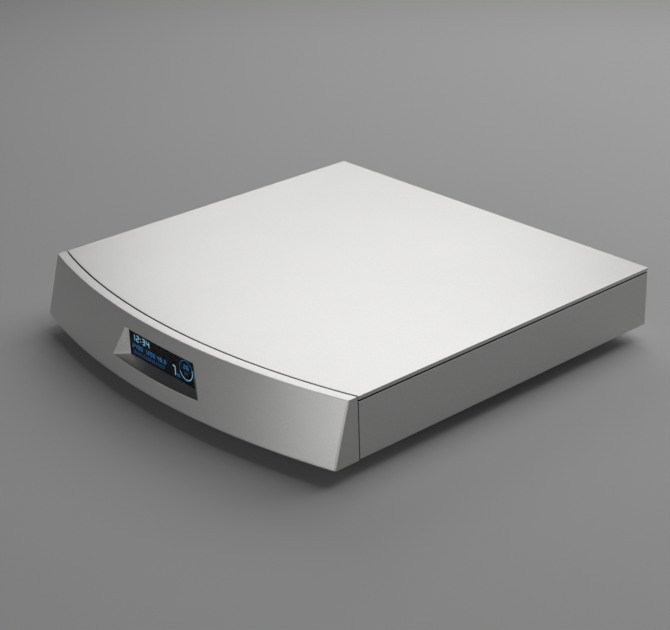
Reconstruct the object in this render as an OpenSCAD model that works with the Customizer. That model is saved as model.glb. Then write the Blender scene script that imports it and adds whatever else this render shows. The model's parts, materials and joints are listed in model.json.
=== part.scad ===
// Desktop digital-to-analogue converter in a milled aluminium casing.
// The front is one bowed fascia that leans back towards its top edge and
// carries a small display at the bottom of a splayed window.
// Millimetres, +Z up, the front faces -Y, the feet stand on Z = 0.

/* [Casing] */
// Width of the casing
body_w = 350; // [348:1:356]
// Depth of the casing, from the foot of the fascia to the rear face
body_d = 345; // [343:1:350]
// Height of the casing above its feet
body_h = 48; // [47.5:0.5:50]
// Height of the feet with their pads
foot_h = 12.5; // [11.5:0.5:14]
// How far the front bows forward over the width of the casing
front_bow = 26; // [24:0.5:28]
// Thickness of the fascia at its top edge
fascia_top_t = 8.5; // [8.3:0.1:9]
// Thickness of the fascia at its foot
fascia_foot_t = 21.4; // [20.5:0.1:22.5]
// Thickness of the top cover
cover_t = 3; // [2.8:0.1:3.2]
// Shadow gap under the cover and behind the fascia
seam = 1; // [0.8:0.1:1.2]
// Thickness of the side walls
wall_t = 7; // [6.8:0.1:7.2]
// Thickness of the floor
floor_t = 4; // [3.8:0.1:4.2]

/* [Display window] */
// Width of the glass that shows
glass_w = 78.8; // [77:0.1:80]
// Height of the glass that shows
glass_h = 20.6; // [20:0.1:21]
// Centre of the glass below the top surface
glass_drop = 22; // [21.5:0.1:22.5]
// How far the glass stands in front of the seam, at the middle
glass_ahead = 8.4; // [8.2:0.1:8.6]
// Angle of the side splays away from the glass's normal
side_splay = 61.2; // [58:0.1:63]
// Angle of the sill splay
sill_splay = 17.7; // [15:0.1:20]
// Angle of the head splay
head_splay = 26.6; // [22:0.1:28]

/* [Rear] */
// Reach of the longest rear terminal beyond the rear face
rear_reach = 15; // [15:0.1:16]
// Height of the connector row above the underside
row_h = 23.8; // [23.5:0.1:24.2]
// Tilt of the power rocker either side of level
rocker_tilt = 8; // [6:0.5:9]

/* [Hidden] */
$fn = 48;
arc_fn = 256;
seam_r = (body_w * body_w / 4 + front_bow * front_bow) / (2 * front_bow);
front_y = -(body_d + rear_reach) / 2;
rear_y = front_y + body_d;
seam_y = front_y + fascia_foot_t;
arc_y = seam_y + seam_r;
tub_r = seam_r - seam / 2;
base_z = foot_h;
top_z = base_z + body_h;
land_z = top_z - cover_t;
rim_z = land_z - seam;
floor_z = base_z + floor_t;
post_z = land_z - 5;
front_wall_t = 6;
inner_r = tub_r - front_wall_t;
panel_t = 4;
panel_in_y = rear_y - panel_t;
row_z = base_z + row_h;
board_z = floor_z + 6;
board_t = 1.6;
deck_z = board_z + board_t;

// Display stack, front to back
glass_y = seam_y - glass_ahead;
glass_z = top_z - glass_drop;
pane_t = 1.5;
pane_w = 86;
pane_h = 25.2;
cell_t = 2;
display_y = glass_y + pane_t + cell_t;
display_w = 106;
display_h = 31;

// Fasteners
m3_r = 1.45;
m3_hole = 1.55;
m3_head_r = 2.75;
m3_head_h = 2;
m4_r = 1.95;
m4_hole = 2.05;
fascia_angles = [-13, -6.2, 6.2, 13];
fascia_rows = [base_z + 11.5, base_z + 35.5];
fascia_seat_r = inner_r + 0.8;
cover_spots = [[163, rear_y - 12], [163, 15], [160, -116]];
panel_spots = [[-156, base_z + 11.5], [-156, base_z + 35.5], [156, base_z + 11.5],
    [156, base_z + 35.5], [-68.5, base_z + 6.9], [66, base_z + 6.9]];

// Feet
foot_x = 130;
foot_rear_y = 118;
foot_front_y = -92;
foot_spots = [[-foot_x, foot_front_y], [foot_x, foot_front_y],
    [-foot_x, foot_rear_y], [foot_x, foot_rear_y]];
pad_h = 3.5;
pad_proud = 2.5;
pad_r = 12;

// Connector places along the rear, from the inside of the casing
inlet_x = 124;
switch_x = 84;
ground_x = 57;
network_x = 28;
usb_x = [-12, 6];
bnc_x = -34;
rca_x = [-79, -58];
xlr_x = [-136, -106];
socket_z = 5.2;
drawer_z = -9.9;
drawer_w = 22;
drawer_h = 7;
drawer_l = 20;
pivot_z = -1;
network_h = 13.5;
usb_h = 5.8;

// Boards as x, y, width, depth and the set-in of their rear screws
main_at = [-44, -10, 90, rear_y + 5, 9];
analog_at = [-155, 20, 103, 108, 24];
psu_at = [57, -94, 98, 102, 9];
toroid_x = 108;
toroid_y = 74;
toroid_r = 46;
toroid_hole_r = 17;
toroid_h = 30;
pad_t = 1.5;
screen_x = 50;
screen_t = 1.5;
screen_y0 = -94;
screen_y1 = 128;
screen_spots = [-80, 15, 115];

silver = [0.80, 0.80, 0.79];
steel = [0.70, 0.71, 0.72];
black = [0.10, 0.10, 0.11];
green = [0.10, 0.32, 0.22];
copper = [0.72, 0.45, 0.22];
gold = [0.83, 0.68, 0.32];
white = [0.92, 0.92, 0.90];
red = [0.72, 0.10, 0.10];

// Rectangle with rounded corners, centred
module round_rect(w, h, r) {
    square([w - 2 * r, h], center = true);
    square([w, h - 2 * r], center = true);
    for (sx = [-1, 1], sy = [-1, 1])
        translate([sx * (w / 2 - r), sy * (h / 2 - r)]) circle(r = r);
}

// Box given by its two corners
module box(a, b) {
    translate(a) cube(b - a);
}

// Frame on the rear face: x to the right as seen from behind, y up, z outwards
module on_rear(x, z) {
    translate([x, rear_y, z]) rotate([90, 0, 180]) children();
}

// Frame on the bowed front: z points to the inside along the radius
module on_arc(angle, r, z) {
    translate([0, arc_y, z]) rotate([0, 0, angle]) translate([0, -r, 0]) rotate([-90, 0, 0]) children();
}

// Screw with a hexagon socket: head above z = 0, shank below
module screw(head_r, head_h, shank_r, shank_l) {
    difference() {
        cylinder(r = head_r, h = head_h);
        translate([0, 0, head_h * 0.4]) cylinder(r = head_r * 0.5, h = head_h, $fn = 6);
    }
    translate([0, 0, -shank_l]) cylinder(r = shank_r, h = shank_l);
}

// Closed section with its lower corners eased by eb and its upper ones by et
function eased(a, b, z0, z1, eb, et) = [[a + eb, z0], [b - eb, z0], [b, z0 + eb], [b, z1 - et],
    [b - et, z1], [a + et, z1], [a, z1 - et], [a, z0 + eb]];

// Slab of the casing's outline with eased edges
module casing_slab(z0, z1, eb, et) {
    corner = 0.7;
    half = body_w / 2;
    intersection() {
        translate([0, rear_y, 0]) rotate([90, 0, 0])
            linear_extrude(height = rear_y - front_y) polygon(eased(-half, half, z0, z1, eb, et));
        translate([-half, 0, 0]) rotate([90, 0, 90])
            linear_extrude(height = body_w) polygon(eased(front_y - 5, rear_y, z0, z1, eb, et));
        translate([0, 0, z0]) linear_extrude(height = z1 - z0)
            polygon([[-half, front_y], [half, front_y], [half, rear_y - corner], [half - corner, rear_y],
                [corner - half, rear_y], [-half, rear_y - corner]]);
        translate([0, arc_y, 0]) rotate_extrude($fn = arc_fn)
            polygon([[0, z0], [tub_r - eb, z0], [tub_r, z0 + eb], [tub_r, z1 - et],
                [tub_r - et, z1], [0, z1]]);
    }
}

// Plain slab of the casing's outline, set in from the sides and front
module inset_slab(z0, z1, inset, rear_in) {
    intersection() {
        box([inset - body_w / 2, front_y, z0], [body_w / 2 - inset, rear_y - rear_in, z1]);
        translate([0, arc_y, z0]) cylinder(r = tub_r - inset, h = z1 - z0, $fn = arc_fn);
    }
}

// Splayed opening that widens forward of the glass
module splayed_window(run) {
    hw = glass_w / 2;
    hh = glass_h / 2;
    fw = hw + run * tan(side_splay);
    fb = -hh - run * tan(sill_splay);
    ft = hh + run * tan(head_splay);
    translate([0, glass_y, glass_z]) polyhedron(
        points = [[-hw, 0, -hh], [hw, 0, -hh], [hw, 0, hh], [-hw, 0, hh],
            [-fw, -run, fb], [fw, -run, fb], [fw, -run, ft], [-fw, -run, ft]],
        faces = [[0, 1, 2, 3], [7, 6, 5, 4], [4, 5, 1, 0], [5, 6, 2, 1], [6, 7, 3, 2], [7, 4, 0, 3]]);
}

// Section of the fascia as radius and height: leaning front, eased edges
module fascia_section() {
    r0 = seam_r + seam / 2;
    rt = seam_r + fascia_top_t;
    rf = seam_r + fascia_foot_t;
    polygon([[r0, base_z + 0.4], [r0 + 0.4, base_z], [rf - 0.9, base_z], [rf, base_z + 0.8],
        [rt, top_z - 0.4], [rt - 0.5, top_z], [r0 + 0.4, top_z], [r0, top_z - 0.4]]);
}

module front_fascia() {
    half = body_w / 2;
    sweep = 2 * asin(half / tub_r) + 4;
    end_y = arc_y - sqrt(seam_r * seam_r - half * half);
    rake = atan((fascia_foot_t - fascia_top_t) / body_h);
    color(silver) difference() {
        union() {
            intersection() {
                translate([0, arc_y, 0]) rotate([0, 0, -90 - sweep / 2])
                    rotate_extrude(angle = sweep, $fn = arc_fn) fascia_section();
                box([-half, front_y - 1, base_z], [half, rear_y, top_z]);
            }
            // Land that bears on the tub, hidden at the bottom of the seam
            intersection() {
                difference() {
                    translate([0, arc_y, base_z + 2])
                        cylinder(r = seam_r + 1, h = body_h - 8, $fn = arc_fn);
                    translate([0, arc_y, base_z]) cylinder(r = tub_r, h = body_h, $fn = arc_fn);
                }
                box([2 - half, front_y, base_z], [half - 2, 0, top_z]);
            }
        }
        // Eased edge up each raked end
        for (s = [-1, 1])
            translate([s * half, end_y - fascia_top_t * 1.02, top_z]) rotate([-rake, 0, 0])
                rotate([0, 0, 45]) cube([1.3, 1.3, 4 * body_h], center = true);
        splayed_window(20);
        // Seat of the glass and cell, then the wider pocket of the display board
        box([-pane_w / 2 - 0.2, glass_y, glass_z - pane_h / 2 - 0.2],
            [pane_w / 2 + 0.2, seam_y + 5, glass_z + pane_h / 2 + 0.2]);
        box([-display_w / 2 - 1, display_y, glass_z - display_h / 2 - 1],
            [display_w / 2 + 1, seam_y + 5, glass_z + display_h / 2 + 1]);
        for (x = [-48.5, 48.5], dz = [-12, 12])
            translate([x, display_y + 1, glass_z + dz]) rotate([90, 0, 0]) cylinder(r = m3_hole, h = 4.3);
        for (a = fascia_angles, z = fascia_rows)
            on_arc(a, tub_r + 9, z) cylinder(r = m4_hole, h = 12);
    }
}

module top_cover() {
    color(silver) difference() {
        union() {
            casing_slab(land_z, top_z, 0.2, 0.4);
            for (s = [-1, 1], p = cover_spots)
                translate([s * p[0], p[1], post_z]) cylinder(r = 4.5, h = land_z - post_z + 1);
        }
        for (s = [-1, 1], p = cover_spots)
            translate([s * p[0], p[1], post_z - 1]) cylinder(r = m3_hole, h = 7);
    }
}

// Milled hollow of the tub, open at the rear
module tub_hollow() {
    intersection() {
        box([wall_t - body_w / 2, front_y, floor_z], [body_w / 2 - wall_t, rear_y + 5, top_z]);
        translate([0, arc_y, floor_z]) cylinder(r = inner_r, h = body_h, $fn = arc_fn);
    }
}

function board_spots(b) = [[b[0] + 5, b[1] + 5], [b[0] + b[2] - 5, b[1] + 5],
    [b[0] + 5, b[1] + b[3] - b[4]], [b[0] + b[2] - 5, b[1] + b[3] - b[4]]];
deck_spots = concat(board_spots(main_at), board_spots(analog_at), board_spots(psu_at));

module tub_posts() {
    side = body_w / 2 - wall_t + 1;
    for (s = [-1, 1]) {
        for (i = [1, 2])
            translate([s * cover_spots[i][0], cover_spots[i][1], floor_z - 1]) {
                cylinder(r = 5.5, h = post_z - floor_z + 1);
                translate([s > 0 ? 0 : cover_spots[i][0] - side, -5.5, 0])
                    cube([side - cover_spots[i][0], 11, post_z - floor_z + 1]);
            }
        box([s > 0 ? 152 : -side, panel_in_y - 14, floor_z - 1], [s > 0 ? side : -152, panel_in_y, post_z]);
    }
    for (i = [4, 5])
        box([panel_spots[i][0] - 6, panel_in_y - 14, floor_z - 1],
            [panel_spots[i][0] + 6, panel_in_y, board_z - 0.4]);
    for (p = deck_spots)
        translate([p[0], p[1], floor_z - 1]) cylinder(r = 3.5, h = board_z - floor_z + 1);
    translate([toroid_x, toroid_y, floor_z - 1]) cylinder(r = 8, h = 7);
}

module chassis_tub() {
    color(silver) difference() {
        union() {
            difference() {
                union() {
                    casing_slab(base_z, rim_z, 0.8, 0.3);
                    inset_slab(rim_z, land_z, 2.7, panel_t);
                }
                tub_hollow();
            }
            tub_posts();
        }
        // Rebate for the rear panel
        box([-171, panel_in_y, base_z + 2.5], [171, rear_y + 5, top_z]);
        for (s = [-1, 1], p = cover_spots)
            translate([s * p[0], p[1], base_z - 1]) {
                cylinder(r = 3.1, h = floor_t + 1);
                cylinder(r = m3_hole, h = body_h);
            }
        for (p = panel_spots)
            translate([p[0], panel_in_y + 1, p[1]]) rotate([90, 0, 0]) cylinder(r = m3_hole, h = 10);
        for (p = deck_spots)
            translate([p[0], p[1], board_z - 5]) cylinder(r = m3_hole, h = 6);
        for (p = foot_spots)
            translate([p[0], p[1], base_z - 1]) cylinder(r = 3.05, h = floor_t + 2);
        for (y = screen_spots)
            translate([screen_x + 5, y, floor_z - 3.4]) cylinder(r = m3_hole, h = 5);
        translate([toroid_x, toroid_y, base_z + 1.5]) cylinder(r = 3.1, h = 20);
        // Slot for the display ribbon and the holes of the fascia screws
        box([-13, front_y, glass_z - 7.5], [13, seam_y + 20, glass_z + 3.5]);
        for (a = fascia_angles, z = fascia_rows)
            on_arc(a, tub_r + 2, z) {
                cylinder(r = 2.2, h = 12);
                translate([0, 0, tub_r + 2 - fascia_seat_r]) cylinder(r = 4.2, h = 8);
            }
    }
}

module cover_gasket() {
    color(black) difference() {
        inset_slab(rim_z, land_z, 1.2, panel_t);
        inset_slab(rim_z - 1, land_z + 1, 2.7, panel_t - 1);
    }
}

// Openings of the rear panel, drawn in the frame seen from behind
module rear_cuts() {
    translate([-inlet_x, row_z]) {
        square([28, 28.4], center = true);
        for (s = [-1, 1]) translate([s * 20, 0]) circle(r = m3_hole);
    }
    translate([-switch_x, row_z]) square([15.2, 21.2], center = true);
    translate([-ground_x, row_z]) circle(r = 2.05);
    translate([-network_x, deck_z + network_h / 2]) square([16.4, network_h + 0.4], center = true);
    for (x = usb_x) translate([-x, deck_z + usb_h / 2]) square([13.6, usb_h + 0.4], center = true);
    translate([-bnc_x, row_z]) circle(r = 4.6);
    for (x = rca_x) translate([-x, row_z]) circle(r = 5.2);
    for (x = xlr_x) translate([-x, row_z]) {
        circle(r = 12);
        for (s = [-1, 1]) translate([s * 9.5, s * 12]) circle(r = m3_hole);
    }
    for (p = panel_spots) translate([-p[0], p[1]]) circle(r = m3_hole);
}

module rear_panel() {
    z0 = base_z + 2.7;
    color(silver) on_rear(0, 0) translate([0, 0, -panel_t]) linear_extrude(height = panel_t) difference() {
        translate([-170.8, z0]) square([341.6, land_z - z0]);
        rear_cuts();
    }
}

module cover_screws() {
    color(black) for (s = [-1, 1], p = cover_spots)
        translate([s * p[0], p[1], floor_z]) rotate([180, 0, 0]) screw(2.9, 2.6, m3_r, land_z - floor_z);
}

module fascia_screws() {
    color(steel) for (a = fascia_angles, z = fascia_rows)
        on_arc(a, fascia_seat_r, z) screw(3.6, 3.2, m4_r, front_wall_t - 0.8 + 8);
}

module rear_screws() {
    color(black) {
        for (p = panel_spots) on_rear(p[0], p[1]) screw(m3_head_r, m3_head_h, m3_r, 11);
        for (s = [-1, 1]) on_rear(inlet_x + s * 20, row_z)
            translate([0, 0, 3]) screw(m3_head_r, m3_head_h, m3_r, 11);
        for (x = xlr_x, s = [-1, 1]) on_rear(x - s * 9.5, row_z + s * 12)
            translate([0, 0, 2]) screw(m3_head_r, m3_head_h, m3_r, 11);
    }
}

// Turned foot with a threaded spigot into the floor and a seat for its pad
module foot(i) {
    z0 = pad_proud;
    color(silver) translate([foot_spots[i][0], foot_spots[i][1], 0]) rotate_extrude() polygon([[0, z0 + 1],
        [pad_r + 0.1, z0 + 1], [pad_r + 0.1, z0], [14.2, z0], [15, z0 + 0.8], [15, base_z - 3.4],
        [14, base_z - 2.8], [14, base_z - 2.2], [17, base_z - 1.6], [17, base_z - 0.4], [16.6, base_z],
        [3, base_z], [3, floor_z], [0, floor_z]]);
}

module foot_front_left() {
    foot(0);
}

module foot_front_right() {
    foot(1);
}

module foot_rear_left() {
    foot(2);
}

module foot_rear_right() {
    foot(3);
}

module foot_pads() {
    color(black) for (p = foot_spots) translate([p[0], p[1], 0]) rotate_extrude()
        polygon([[0, 0], [pad_r - 0.8, 0], [pad_r, 0.8], [pad_r, pad_h], [0, pad_h]]);
}

module display_glass() {
    color([0.02, 0.02, 0.03])
        box([-pane_w / 2, glass_y, glass_z - pane_h / 2],
            [pane_w / 2, glass_y + pane_t, glass_z + pane_h / 2]);
}

module display_cell() {
    color([0.06, 0.07, 0.10])
        box([-41, glass_y + pane_t, glass_z - 12], [41, display_y, glass_z + 12]);
}

module display_board() {
    y1 = display_y + board_t;
    color(green) {
        difference() {
            box([-display_w / 2, display_y, glass_z - display_h / 2],
                [display_w / 2, y1, glass_z + display_h / 2]);
            for (x = [-48.5, 48.5], dz = [-12, 12])
                translate([x, y1 + 1, glass_z + dz]) rotate([90, 0, 0]) cylinder(r = m3_hole, h = 4);
        }
        box([-12, y1, glass_z - 4.5], [12, y1 + 2, glass_z + 0.5]);
        box([22, y1, glass_z - 6], [34, y1 + 1.2, glass_z + 6]);
        box([-38, y1, glass_z - 3], [-32, y1 + 1.6, glass_z + 3]);
    }
}

// Flat band of thickness t along points of a plane
function unit(v) = v / norm(v);
function band_normal(p, i) = let (d = unit(p[min(i + 1, len(p) - 1)] - p[max(i - 1, 0)])) [-d[1], d[0]];
function band(p, t) = concat([for (i = [0:len(p) - 1]) p[i] + band_normal(p, i) * t / 2],
    [for (i = [len(p) - 1:-1:0]) p[i] - band_normal(p, i) * t / 2]);

module display_ribbon() {
    t = 0.4;
    y0 = display_y + board_t + 2;
    z0 = glass_z - 2;
    lie = floor_z + t / 2;
    route = [[y0, z0], [y0 + 10, z0], [y0 + 14, z0 - 1.5], [y0 + 16.5, z0 - 5], [y0 + 19, lie + 5],
        [y0 + 21.5, lie + 1.6], [y0 + 26, lie], [-32, lie], [-26, lie + 1], [-22, lie + 3.6],
        [-18.5, deck_z - 0.4], [-15.5, deck_z + 1.2], [main_at[1] - 3, deck_z + 1.6],
        [main_at[1], deck_z + 1.6]];
    color(white) translate([-10, 0, 0]) rotate([90, 0, 90])
        linear_extrude(height = 20) polygon(band(route, t));
}

// Outline of the mains inlet's recess, two corners cut off
module inlet_outline(w, h) {
    c = 5;
    polygon([[-w / 2, -h / 2], [w / 2, -h / 2], [w / 2, h / 2 - c], [w / 2 - c, h / 2], [c - w / 2, h / 2],
        [-w / 2, h / 2 - c]]);
}

module inlet_body() {
    color(black) on_rear(inlet_x, row_z) difference() {
        union() {
            linear_extrude(height = 3) difference() {
                round_rect(50, 30, 4);
                for (s = [-1, 1]) translate([s * 20, 0]) circle(r = m3_hole);
            }
            translate([-13.8, -14, -24]) cube([27.6, 28, 24.5]);
        }
        translate([0, socket_z, -16]) linear_extrude(height = 30) inlet_outline(24.2, 16.4);
        translate([-drawer_w / 2 - 0.35, drawer_z - drawer_h / 2 - 0.35, 2.4 - drawer_l])
            cube([drawer_w + 0.7, drawer_h + 0.7, 30]);
        for (p = [[-7, -2], [7, -2], [0, 2]])
            translate([p[0] - 1.05, socket_z + p[1] - 2.05, -30]) cube([2.1, 4.1, 20]);
    }
}

module inlet_blades() {
    color(steel) on_rear(inlet_x, row_z) for (p = [[-7, -2], [7, -2], [0, 2]])
        translate([p[0] - 1, socket_z + p[1], -30]) rotate([90, 0, 90]) linear_extrude(height = 2)
            polygon([[-2, 0], [2, 0], [2, 27.4], [1.2, 28.6], [-1.2, 28.6], [-2, 27.4]]);
}

module fuse_drawer() {
    w = drawer_w;
    h = drawer_h;
    l = drawer_l - 0.4;
    color(black) on_rear(inlet_x, row_z) translate([-w / 2, drawer_z - h / 2, 2.8 - l]) difference() {
        cube([w, h, l]);
        // Trough of the fuse, open at the top, and the finger notch in the front
        translate([0.9, 1, l - 9.4]) cube([w - 1.8, h, 6]);
        translate([1.5, 1, 1.2]) cube([w - 3, h, l - 12.2]);
        translate([w / 2 - 4, -1, l - 1.2]) cube([8, 2.6, 2]);
    }
}

// Glass tube between two metal caps, lying across the drawer
module fuse() {
    l = drawer_l - 0.4;
    color(steel) on_rear(inlet_x, row_z)
        translate([-10, drawer_z - drawer_h / 2 + 3.6, 2.8 - l + l - 6.4]) rotate([0, 90, 0]) {
            cylinder(r = 2.6, h = 5.5);
            translate([0, 0, 5.5]) cylinder(r = 2.3, h = 9);
            translate([0, 0, 14.5]) cylinder(r = 2.6, h = 5.5);
        }
}

module switch_body() {
    color(black) on_rear(switch_x, row_z) difference() {
        union() {
            linear_extrude(height = 1.6) round_rect(18, 24, 1.5);
            translate([-7.5, -10.5, -16]) cube([15, 21, 16.5]);
        }
        translate([-6.45, -9.6, -12]) cube([12.9, 19.2, 20]);
        translate([-7.1, 0, pivot_z]) rotate([0, 90, 0]) cylinder(r = 1.25, h = 14.2);
    }
}

// Rocker with two dished faces, turning on its own short trunnions
module power_rocker() {
    color([0.14, 0.14, 0.15]) on_rear(switch_x, row_z)
        translate([0, 0, pivot_z]) rotate([rocker_tilt, 0, 0]) {
        rotate([90, 0, 90]) translate([0, 0, -6.1]) linear_extrude(height = 12.2) intersection() {
            circle(r = 9.2);
            polygon([[-5, -5], [5, -5], [12, -1.5], [12, 4.6], [0, 2.6], [-12, 4.6], [-12, -1.5]]);
        }
        translate([-7, 0, 0]) rotate([0, 90, 0]) cylinder(r = 1.2, h = 14);
    }
}

// Balanced output socket: round shell with a closed back and a square flange
module xlr_socket(i) {
    color(black) on_rear(xlr_x[i], row_z) difference() {
        union() {
            linear_extrude(height = 2) difference() {
                round_rect(26, 31, 3);
                for (s = [-1, 1]) translate([s * 9.5, s * 12]) circle(r = m3_hole);
            }
            translate([0, 0, -19]) cylinder(r = 11.9, h = 19.5);
        }
        translate([0, 0, -13]) cylinder(r = 8.2, h = 20);
        translate([-1.6, 7, -13]) cube([3.2, 2.6, 20]);
        for (a = [30, 150, 270]) rotate([0, 0, a]) translate([5.4, 0, -20]) cylinder(r = 1.3, h = 10);
    }
}

module xlr_left() {
    xlr_socket(0);
}

module xlr_right() {
    xlr_socket(1);
}

module xlr_pins() {
    color(gold) for (x = xlr_x) on_rear(x, row_z) for (a = [30, 150, 270]) rotate([0, 0, a])
        translate([5.4, 0, -25]) rotate_extrude()
            polygon([[0, 0], [1.2, 0], [1.2, 22.8], [0.6, 23.6], [0, 23.6]]);
}

// Phono socket: threaded stem through the panel, flange and plug barrel
module rca_socket(i) {
    color(gold) on_rear(rca_x[i], row_z) rotate_extrude() polygon([[3.2, -12], [4, -12], [4, 1.5],
        [6.5, 1.5], [6.5, 4], [6, 4.5], [4.15, 4.5], [4.15, 14], [3.8, 14.4], [3.2, 14.4]]);
}

module rca_left() {
    rca_socket(0);
}

module rca_right() {
    rca_socket(1);
}

module rca_collar(i) {
    on_rear(rca_x[i], row_z) rotate_extrude() polygon([[4.1, -4], [5.1, -4], [5.1, 0], [7.5, 0], [7.5, 1.2],
        [7.2, 1.5], [4.1, 1.5]]);
}

module rca_collar_left() {
    color(white) rca_collar(0);
}

module rca_collar_right() {
    color(red) rca_collar(1);
}

module socket_inserts() {
    color(white) {
        for (x = rca_x) on_rear(x, row_z) rotate_extrude()
            polygon([[2.1, -10], [3.1, -10], [3.1, 12.6], [2.1, 12.6]]);
        on_rear(bnc_x, row_z) rotate_extrude()
            polygon([[1.1, -10], [3, -10], [3, 1], [2.4, 1], [2.4, 11], [1.1, 11]]);
    }
}

module socket_contacts() {
    color(gold) {
        for (x = rca_x) on_rear(x, row_z) rotate_extrude()
            polygon([[0, -14], [2, -14], [2, 12], [1.65, 12], [1.65, 0], [0, 0]]);
        on_rear(bnc_x, row_z) rotate_extrude()
            polygon([[0, -14], [1, -14], [1, 10.4], [0.6, 10.4], [0.6, 4], [0, 4]]);
    }
}

module socket_nuts() {
    color(steel) for (x = concat(rca_x, [bnc_x])) on_rear(x, row_z) translate([0, 0, -7]) difference() {
        cylinder(r = 6.6, h = 3, $fn = 6);
        translate([0, 0, -1]) cylinder(r = x == bnc_x ? 4.6 : 4.1, h = 5);
    }
}

// Bayonet coaxial socket with two lugs on its barrel
module bnc_socket() {
    color(steel) on_rear(bnc_x, row_z) {
        difference() {
            union() {
                cylinder(r = 7.6, h = 2.5, $fn = 6);
                translate([0, 0, -12]) cylinder(r = 4.5, h = 13);
                translate([0, 0, 2]) cylinder(r = 4.8, h = 12);
                translate([-5.6, 0, 10]) rotate([0, 90, 0]) cylinder(r = 1, h = 11.2);
            }
            translate([0, 0, 1.5]) cylinder(r = 4.05, h = 20);
            translate([0, 0, -13]) cylinder(r = 3.1, h = 20);
        }
    }
}

module usb_shell(i) {
    color(steel) on_rear(usb_x[i], deck_z + usb_h / 2) translate([0, 0, -16]) difference() {
        linear_extrude(height = 16.8) square([13.2, usb_h], center = true);
        translate([0, 0, 1]) linear_extrude(height = 20) square([12.2, usb_h - 0.9], center = true);
    }
}

module usb_left() {
    usb_shell(0);
}

module usb_right() {
    usb_shell(1);
}

module usb_tongues() {
    color(white) for (x = usb_x) on_rear(x, deck_z + usb_h / 2) {
        translate([-6, -usb_h / 2 + 0.5, -15]) cube([12, usb_h - 1, 4]);
        translate([-5.5, 0.3, -11.5]) cube([11, 1.8, 11]);
    }
}

// Network socket with a stepped opening for the latch
module network_socket() {
    color(steel) on_rear(network_x, deck_z + network_h / 2) difference() {
        translate([-8, -network_h / 2, -20]) cube([16, network_h, 20.8]);
        translate([-5.9, -3.2, -13]) cube([11.8, 8.2, 20]);
        translate([-3.1, -4.8, -13]) cube([6.2, 3, 20]);
        translate([-1.6, -6, -13]) cube([3.2, 2, 20]);
    }
}

module ground_stud() {
    color(gold) on_rear(ground_x, row_z) {
        cylinder(r = 5.4, h = 2, $fn = 6);
        translate([0, 0, -8]) cylinder(r = 2, h = 23);
    }
}

module ground_washer() {
    color(steel) on_rear(ground_x, row_z) translate([0, 0, 2]) difference() {
        cylinder(r = 4.6, h = 1);
        translate([0, 0, -1]) cylinder(r = 2.1, h = 3);
    }
}

module ground_nut() {
    grips = 18;
    color(gold) on_rear(ground_x, row_z) translate([0, 0, 3]) difference() {
        rotate_extrude() polygon([[2.06, 0], [5, 0], [5.4, 0.4], [5.4, 5.2], [5, 5.6], [2.06, 5.6]]);
        for (k = [0:grips - 1]) rotate([0, 0, k * 360 / grips]) translate([5.7, 0, -1])
            cylinder(r = 0.55, h = 8, $fn = 16);
    }
}

module toroid() {
    r = 5;
    color(copper) translate([toroid_x, toroid_y, floor_z + pad_t]) rotate_extrude($fn = 96) {
        translate([toroid_hole_r + r, 0]) square([toroid_r - toroid_hole_r - 2 * r, toroid_h]);
        translate([toroid_hole_r, r]) square([toroid_r - toroid_hole_r, toroid_h - 2 * r]);
        for (x = [toroid_hole_r + r, toroid_r - r], y = [r, toroid_h - r]) translate([x, y]) circle(r = r);
    }
}

module toroid_pads() {
    color(black) for (z = [0, pad_t + toroid_h])
        translate([toroid_x, toroid_y, floor_z + z]) difference() {
            cylinder(r = toroid_r - 4, h = pad_t, $fn = 96);
            translate([0, 0, -1]) cylinder(r = 9, h = pad_t + 2);
        }
}

// Dished clamp plate whose middle is pressed down into the transformer's hole
module toroid_clamp() {
    z = 2 * pad_t + toroid_h;
    color(steel) translate([toroid_x, toroid_y, floor_z + z]) rotate_extrude($fn = 96)
        polygon([[3.1, -3], [7, -3], [8.5, 0], [38, 0], [38, 1.5], [7.6, 1.5], [6.1, -1.5], [3.1, -1.5]]);
}

module toroid_bolt() {
    z = floor_z + 2 * pad_t + toroid_h - 1.5;
    color(steel) translate([toroid_x, toroid_y, z]) {
        cylinder(r = 5.5, h = 4, $fn = 6);
        translate([0, 0, base_z + 2 - z]) cylinder(r = 3, h = z - base_z - 2);
    }
}

// Bare circuit board with a screw hole near each corner
module bare_board(b) {
    difference() {
        translate([b[0], b[1], board_z]) cube([b[2], b[3], board_t]);
        for (p = board_spots(b)) translate([p[0], p[1], board_z - 1]) cylinder(r = m3_hole, h = 4);
    }
}

module psu_board() {
    color(green) {
        bare_board(psu_at);
        box([94, -2, deck_z], [124, 6, deck_z + 10]);
        box([59, -60, deck_z], [67, -40, deck_z + 8]);
    }
}

psu_cans = [[76, -72], [76, -22], [98, -72], [98, -50], [98, -28], [117.5, -72]];

module psu_capacitors() {
    h = 26;
    color([0.12, 0.14, 0.25]) for (p = psu_cans) translate([p[0], p[1], deck_z]) rotate_extrude()
        polygon([[0, 0], [9, 0], [9, 2.2], [8.6, 2.7], [9, 3.2], [9, h - 1], [8.2, h],
            [7.4, h - 0.4], [0, h - 0.4]]);
}

module psu_heatsink() {
    color(black) translate([132, -78, deck_z]) {
        cube([4, 66, 26]);
        for (k = [0:10]) translate([3.5, 1 + k * 6.2, 0]) cube([14, 2, 26]);
    }
}

module psu_regulators() {
    color([0.18, 0.18, 0.19]) for (y = [-66, -48, -30]) translate([132, y, deck_z]) {
        box([-4.5, -5, 4], [0, 5, 13]);
        box([-1.3, -5, 4], [0, 5, 19]);
        for (d = [-2.5, 0, 2.5]) box([-2.6, d - 0.4, 0], [-1.8, d + 0.4, 4.5]);
    }
}

module main_board() {
    color(green) {
        bare_board(main_at);
        box([-12, main_at[1], deck_z], [12, main_at[1] + 5, deck_z + 3]);
        box([31, main_at[1] + 12, deck_z], [41, main_at[1] + 20, deck_z + 8]);
    }
}

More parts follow.
